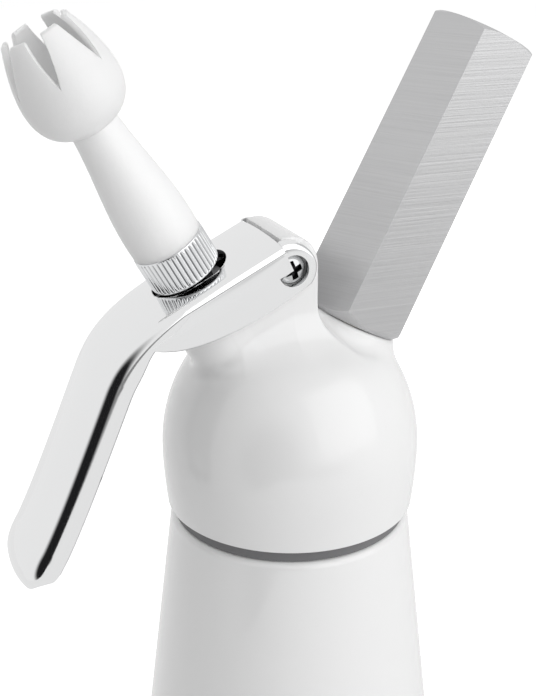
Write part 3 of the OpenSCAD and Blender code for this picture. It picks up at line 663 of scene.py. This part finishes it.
fine = np.linspace(0, 1, 60)[1:]
back_line = np.concatenate([
    np.linspace(plate_end, plate_front, 60),
    bezier([plate_front, plate_front + 0.55 * bend_size * down_plate,
            bend_end - bend_size * np.array([-0.22, -0.52]), bend_end], fine),
    bezier([bend_end, on_handle(0.2, 1.2), on_handle(0.55, 3), on_handle(0.74, 5.1)], fine),
    bezier([on_handle(0.74, 5.1), on_handle(0.85, 6.9), on_handle(0.965, 6.6), on_handle(0.975, 1)], fine)])
lever_line, lever_run = even(back_line, 220)
left_over = lever_run[-1] - lever_run
lever_along = np.gradient(lever_line, axis=0)
lever_along /= np.linalg.norm(lever_along, axis=1)[:, None]
lever_out = np.stack([lever_along[:, 1], -lever_along[:, 0]], -1)
tip_share = np.clip(1 - left_over / lever_half_w, 0, 1)
half_width = np.maximum(lever_half_w * (1 - tip_share ** tip_power) ** (1 / tip_power), 0.25 * mm)
depth = handle_deep * (0.62 + 0.4 * np.clip(left_over / tip_taper, 0, 1) ** 0.7)
depth -= bend_shallow * np.exp(-((lever_run - bend_run) / bend_reach) ** 2)


def lever_section(half, deep, wall, crown_h, edge_r):
    """One closed ring across the lever, [across, up]: the outside from edge to edge, then the inside back."""
    r = min(edge_r, 0.75 * half, max(deep - crown_h - 0.7 * mm, 0.3 * deep))
    lean = math.atan(2 * crown_h / (half - 0.8 * r))
    top_half = half - r + r * math.sin(lean)
    shoulder_at = -crown_h - r * math.cos(lean)
    round_off = np.linspace(0, math.pi / 2 - lean, 18)
    side = np.stack([np.full(5, half), np.linspace(-deep + 0.5 * mm, shoulder_at - 0.1 * mm, 5)], -1)
    shoulder = np.stack([half - r + r * np.cos(round_off), shoulder_at + r * np.sin(round_off)], -1)
    across = np.linspace(top_half, 0, 14)[1:]
    top = np.stack([across, -crown_h * (across / top_half) ** 2], -1)
    right = np.concatenate([[[half - 0.5 * mm, -deep]], side, shoulder, top])
    outside_ring = np.concatenate([right, (right * [-1, 1])[-2::-1]])
    thin = min(ear_wall, 0.45 * half)
    low = max(deep - wall, 0.2 * mm)
    hollow = np.array([[half - thin, -deep], [half - thin, -deep + 0.3 * low],
                       [half - thin - 0.3 * mm, -wall - 1.2 * mm],
                       [half - thin - 1.4 * mm, -wall - 0.2 * mm], [0, -wall]])
    hollow[:, 0] = np.maximum(hollow[:, 0], 0)
    hollow[:, 1] = np.maximum(hollow[:, 1], -deep)
    inside_ring = np.concatenate([hollow * [-1, 1], hollow[-2::-1]])
    return np.concatenate([outside_ring, inside_ring])


# The wall grows down the handle, and the channel is filled up solid at the tip.
filled = np.clip((9 * mm - left_over) / (6 * mm), 0, 1)
thick = np.interp(lever_run, [handle_wall_at, handle_wall_at + full_wall_l], [lever_wall, handle_wall])
walls = thick + filled * (depth - lever_wall)
crowns = crown * np.minimum(1, half_width / lever_half_w)
edge_radius = np.interp(lever_run, [plate_l + 2 * mm, plate_l + 26 * mm], [lever_edge_r, handle_edge_r])
rings = np.stack([lever_section(*sizes) for sizes in zip(half_width, depth, walls, crowns, edge_radius)])
ring_at = lever_line[:, None, :] + rings[..., 1:] * lever_out[:, None, :]
lever_points = np.stack([ring_at[..., 0], rings[..., 0], ring_at[..., 1]], -1)
lever = skin("lever_plate", lever_points, crease=38, filled=True)

slot_outline = np.array([[0, slot_low], [slot_r, slot_low], [slot_r, slot_high], [0, slot_high]])
for shift in slot_shifts:
    cut(lever, tube_along("slot", meeting + shift * square_way, valve_way, slot_outline, 48))
plating = metal_of("polished_plating", (0.9, 0.903, 0.906), 0.09, 0.02, 160)
settle(lever, "lever", plating, "polished_metal", "lever")
# Painted shade: a near-black metal for the slot's wall, standing for the shade inside the hole.
painted_slot_shade = metal_of("painted_slot_shade", (0.1, 0.1, 0.105), 0.4, 0.2, 1500)
lever.data.materials.append(painted_slot_shade)
# Painted shade: the faces on the slot's wall get the near-black metal, so that the hole under the adapter
# reads dark.
faces = lever.data.polygons
centres, facing = np.empty(len(faces) * 3), np.empty(len(faces) * 3)
faces.foreach_get("center", centres)
faces.foreach_get("normal", facing)
centres, facing = centres.reshape(-1, 3) - meeting, facing.reshape(-1, 3)
past_slot = (centres @ square_way) - np.clip(centres @ square_way, slot_shifts[0], slot_shifts[-1])
near_wall = np.hypot(past_slot, centres[:, 1]) < slot_r + 0.05 * mm
in_wall = near_wall & (np.abs(facing @ valve_way) < 0.3) & (centres @ valve_way > slot_low)
faces.foreach_set("material_index", in_wall.astype(np.int32))

# The ears' outline in side view: the curved skirt below, the round lug, and the edge under the plate.
skirt = bezier([hinge + np.array([-36.1, -14.1]) * mm, hinge + np.array([-28, -18.6]) * mm,
                hinge + np.array([-11, -13.4]) * mm, hinge + ear_r * np.array([0.771, -0.637])],
               np.linspace(0, 1, 50))
lug_turn = np.radians(np.linspace(-39.5, 115.1, 61)[1:])
lug_r = ear_r + (plate_over - crown / 2 - ear_r) * np.clip((lug_turn - 0.5) / 1.4, 0, 1) ** 2
lug = hinge + lug_r[:, None] * np.stack([np.cos(lug_turn), np.sin(lug_turn)], -1)
crease_at = crown + lever_edge_r
bend_low = plate_front + 6 * mm * down_plate - 5.2 * mm * up_plate
upper = np.concatenate([np.linspace(plate_end - crease_at * up_plate, plate_front - crease_at * up_plate, 30),
                        np.linspace(plate_front - crease_at * up_plate, bend_low, 8)[1:],
                        np.linspace(bend_low, skirt[0], 8)[1:-1]])
ear_outline = np.concatenate([skirt, lug, upper])
ear_round = np.concatenate([np.interp(np.arange(len(skirt)), [0, 8], [0.05, 0.8]),
                            np.interp(lug_turn, [0.5, 1.9], [0.8, 2.0]), np.full(len(upper), 0.05)]) * mm


def ear(name, side):
    """A flat plate as rings about the hinge: the screw's round hole, the outer face, a quarter round along
    the outline, and the inner face back to the hole."""
    tangent = np.roll(ear_outline, -1, 0) - np.roll(ear_outline, 1, 0)
    tangent[-len(upper) - 1:-len(upper) + 1] = down_plate
    tangent /= np.linalg.norm(tangent, axis=1)[:, None]
    inward = np.stack([-tangent[:, 1], tangent[:, 0]], -1)
    away = ear_outline - hinge
    hole = hinge + screw_hole_r * away / np.linalg.norm(away, axis=1)[:, None]
    round_off = np.linspace(math.pi / 2, 0, 8)[:, None]
    rings = ear_outline + inward * (ear_round * (1 - np.cos(round_off)))[..., None]
    outer_y = lever_half_w + 0.01 * mm
    inner_y = np.full((1, len(ear_outline)), lever_half_w - ear_wall)
    flats = np.concatenate([hole[None], hole[None], rings, ear_outline[None]])
    rounded_y = outer_y - ear_round * (1 - np.sin(round_off))
    ys = np.concatenate([inner_y, np.full_like(inner_y, outer_y), rounded_y, inner_y])
    piece = skin(name, np.stack([flats[..., 0], side * ys, flats[..., 1]], -1), around=True, crease=30)
    return settle(piece, "lever", plating, "polished_metal", "lever")


ear("near_ear", -1)
ear("far_ear", 1)

# ---- The valve ----
# A hollow stainless stem with a hexagonal collar that the lever pushes, a rubber washer held by a
# nut, an O-ring, and a coil spring that lifts it shut again.
# Painted shade: the stem's collar is coloured near black for the shade in the hole under the adapter.
collar_painted_shade = metal_of("collar_steel_painted_shade", (0.07, 0.07, 0.073), 0.2, 0.06, 1200)
dress(steel, "valve_stem")
dress(collar_painted_shade, "stem_collar")
wire = metal_of("drawn_wire", (0.6, 0.61, 0.62), 0.38, 0.15, 1500)
dress(wire, "washer_nut", "piercing_pin")
black_rubber, black_shader = finish_of("black_rubber", (0.025, 0.025, 0.027), 0.0, 0.6)
patches = rippled(black_rubber, black_shader, 0.3, 1200)
spread(black_rubber, patches, (0.02, 0.02, 0.021), (0.035, 0.035, 0.037), black_shader.inputs["Base Color"])
spread(black_rubber, patches, 0.5, 0.68, black_shader.inputs["Roughness"])
dress(black_rubber, "valve_washer", "stem_o_ring", "adapter_seal", "charger_seal", "gas_check_valve")

spring_low, spring_high, spring_r, wire_r, coils = 32 * mm, 49 * mm, 4.8 * mm, 0.55 * mm, 5
closed_share = 1 / (coils + 2)


def coil_spring():
    """A round wire carried along a helix. Half a curl at each end lies nearly flat, and it climbs evenly
    between them."""
    share = np.linspace(0, 1, 48 * (coils + 2) + 1)
    turn = share * (coils + 2) * 2 * math.pi
    climb = np.clip((share - 0.5 * closed_share) / (1 - closed_share), 0, 1)
    climb = climb + 0.02 * (2 * share - 1)
    climb = (climb - climb[0]) / (climb[-1] - climb[0])
    height = spring_low + wire_r + climb * (spring_high - spring_low - 2 * wire_r)
    line = np.stack([spring_r * np.cos(turn), spring_r * np.sin(turn), height], -1)
    outward = np.stack([np.cos(turn), np.sin(turn), np.zeros_like(turn)], -1)
    around = np.linspace(0, 2 * math.pi, 12, endpoint=False)
    rings = (line[:, None, :] + wire_r * (np.cos(around)[None, :, None] * outward[:, None, :]
                                          + np.sin(around)[None, :, None] * np.array([0, 0, 1])))
    return skin("coil_spring", rings @ axes_of(valve_way).T + meeting, filled=True)


spring = settle(coil_spring(), "head", wire, "spring_steel", "valve_spring")
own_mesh(spring)

# ---- The nozzle ----
# A knurled metal adapter screws onto the stem, and a white moulded nozzle is plugged into it. The
# nozzle narrows to a waist and opens into a tulip of six petals that pipes the cream as a rosette.
adapter_d, adapter_l, adapter_r = 56.2 * mm, 9.4 * mm, 9 * mm
knurl_count, knurl_depth, knurl_set_back = 44, 0.5 * mm, 0.12 * mm
adapter_bore_r, socket_r, socket_floor, adapter_round = 3.5 * mm, 6.8 * mm, 4.5 * mm, 0.35 * mm
nozzle_l, waist_r, foot_r, foot_d = 32.6 * mm, 5.7 * mm, 6.7 * mm, 6.0 * mm
tulip_l, tulip_r, tulip_wall = 24.5 * mm, 11.6 * mm, 1.3 * mm
petals, notch_l, notch_turn, notch_half = 6, 11 * mm, 0.2, 0.24
passage_r = 2.4 * mm


def knurl(angle, height, radius):
    """Rounded ridges that run along the adapter and fade at its two ends."""
    wave = np.abs(np.sin(angle * knurl_count / 2)) ** 0.7
    from_ends = np.minimum(height - 0.5 * mm, adapter_l - adapter_round - height)
    inside = np.clip(from_ends / (0.35 * mm), 0, 1)
    sunk = knurl_depth * (1 - wave) * inside + knurl_set_back * (1 - inside)
    return np.where(radius > adapter_r - 1.2 * mm, -sunk, 0)


adapter_outline = np.concatenate([
    [[adapter_bore_r, 0], [adapter_r - 0.9 * mm, 0]],
    arc((adapter_r - 0.6 * mm, 0.6 * mm), 0.6 * mm, -80, 0, 6),
    np.stack([np.full(12, adapter_r), np.linspace(0.8 * mm, adapter_l - 0.6 * mm, 12)], -1),
    arc((adapter_r - adapter_round, adapter_l - adapter_round), adapter_round, 0, 90, 6),
    [[socket_r, adapter_l], [socket_r, socket_floor], [adapter_bore_r, socket_floor], [adapter_bore_r, 0]]])
adapter = tube_along("knurled_adapter", meeting + adapter_d * valve_way, valve_way, adapter_outline,
                     knurl_count * 10, knurl, 30)
# Painted shade: the knurl's grooves are coloured darker the deeper they lie.
at = places_of(adapter) - meeting - adapter_d * valve_way
out = np.linalg.norm(at - (at @ valve_way)[:, None] * valve_way, axis=1)
groove_painted_shade = (adapter_r - knurl_set_back - out) / (0.9 * knurl_depth)
mark_painted_shade(adapter, groove_painted_shade * (out > adapter_r - 1.1 * knurl_depth))
knurl_steel = metal_with_painted_shade("knurled_steel", (0.86, 0.87, 0.88), 0.14, (0.2, 0.2, 0.205))
settle(adapter, "nozzle", knurl_steel, "polished_metal", "nozzle_adapter")

waist_d = adapter_l + nozzle_l
nozzle_top = waist_d + tulip_l
stem_corners = [(adapter_r - 0.3 * mm, adapter_l), (adapter_r + 0.3 * mm, adapter_l + 0.37 * nozzle_l),
                (waist_r + 0.9 * mm, adapter_l + 0.61 * nozzle_l), (waist_r, waist_d)]
tulip_corners = [(waist_r, waist_d), (1.164 * tulip_r, waist_d + 0.116 * tulip_l),
                 (1.138 * tulip_r, waist_d + 0.5 * tulip_l), (0.68 * tulip_r, nozzle_top)]
stem_line = bezier(stem_corners, np.linspace(0, 1, 40))
tulip_line = bezier(tulip_corners, np.linspace(0, 1, 70))
foot_line = np.array([[passage_r, foot_d], [foot_r, foot_d], [foot_r, adapter_l]])


def nozzle():
    """The stem and the tulip as one ring of columns. Each column of the tulip ends at its own height, so that
    the mouth falls into a notch between the petals, and the inside follows a wall's thickness in."""
    columns = 360
    around = np.linspace(0, 2 * math.pi, columns, endpoint=False)
    place = ((around / (2 * math.pi) * petals - notch_turn + 0.5) % 1) - 0.5
    notch = np.clip(1 - np.abs(place) / notch_half, 0, 1) ** 0.85
    cap = nozzle_top - notch * notch_l
    reach = (cap - waist_d) / tulip_l
    steps = np.linspace(0, 1, len(tulip_line))
    share = steps[:, None] * reach
    out = np.interp(share, (tulip_line[:, 1] - waist_d) / tulip_l, tulip_line[:, 0])
    up = waist_d + share * tulip_l
    into = np.maximum(out - tulip_wall, passage_r)
    inner_low = waist_d + 1.5 * tulip_wall
    inner_up = inner_low + (up - waist_d) * (cap - inner_low) / np.maximum(cap - waist_d, 1e-6)
    lip_out, lip_in = out[-1] - 0.35 * mm, into[-1] + 0.35 * mm
    below = np.repeat(np.concatenate([foot_line, stem_line])[..., None], columns, 2)
    radii = np.concatenate([below[:, 0], out[1:], lip_out[None], lip_in[None], into[-2:0:-1],
                            np.full((2, columns), passage_r)])
    heights = np.concatenate([below[:, 1], up[1:-1], up[-1:] - 0.4 * mm, up[-1:], up[-1:],
                              inner_up[-2:0:-1] - 0.2 * mm, np.full((1, columns), inner_low),
                              np.full((1, columns), foot_d)])
    points = np.stack([radii * np.cos(around), radii * np.sin(around), heights], -1)
    return skin("tulip_nozzle", points @ axes_of(valve_way).T + meeting + adapter_d * valve_way, crease=55)


plastic, plastic_shader = finish_of("white_plastic", (0.9, 0.9, 0.9), 0.0, 0.42)
plastic_shader.inputs["Subsurface Weight"].default_value = 0.4
plastic_shader.inputs["Subsurface Radius"].default_value = (0.006, 0.006, 0.006)
plastic_shader.inputs["Subsurface Scale"].default_value = 1.0
patches = rippled(plastic, plastic_shader, 0.12, 700)
spread(plastic, patches, 0.36, 0.48, plastic_shader.inputs["Roughness"])
settle(nozzle(), "nozzle", plastic, "white_plastic", "nozzle_tip")

# ---- The charger holder ----
# A hexagonal aluminium bar, turned round at both ends and bored from the foot, with the fine
# crosswise lines of the brush on its six flats.
brushed, brushed_shader = finish_of("brushed_aluminium", (0.62, 0.62, 0.625), 1.0, 0.3)
tree = brushed.node_tree
place = tree.nodes.new("ShaderNodeTexCoord")
lay = tree.nodes.new("ShaderNodeMapping")
lay.inputs["Rotation"].default_value = (0, -math.acos(holder_way[2]), 0)
lay.inputs["Scale"].default_value = (30, 30, 2600)
link(tree, place.outputs["Object"], lay.inputs["Vector"])
streak = tree.nodes.new("ShaderNodeTexNoise")
streak.inputs["Scale"].default_value = 1
streak.inputs["Detail"].default_value = 5
link(tree, lay.outputs[0], streak.inputs["Vector"])
scratch = tree.nodes.new("ShaderNodeBump")
scratch.inputs["Strength"].default_value = 0.25
scratch.inputs["Distance"].default_value = 0.0002
link(tree, streak.outputs["Fac"], scratch.inputs["Height"])
link(tree, scratch.outputs["Normal"], brushed_shader.inputs["Normal"])
lines = streak.outputs["Fac"]
spread(brushed, lines, (0.52, 0.52, 0.525), (0.65, 0.65, 0.655), brushed_shader.inputs["Base Color"])
spread(brushed, lines, 0.29, 0.42, brushed_shader.inputs["Roughness"])
dress(brushed, "charger_holder")
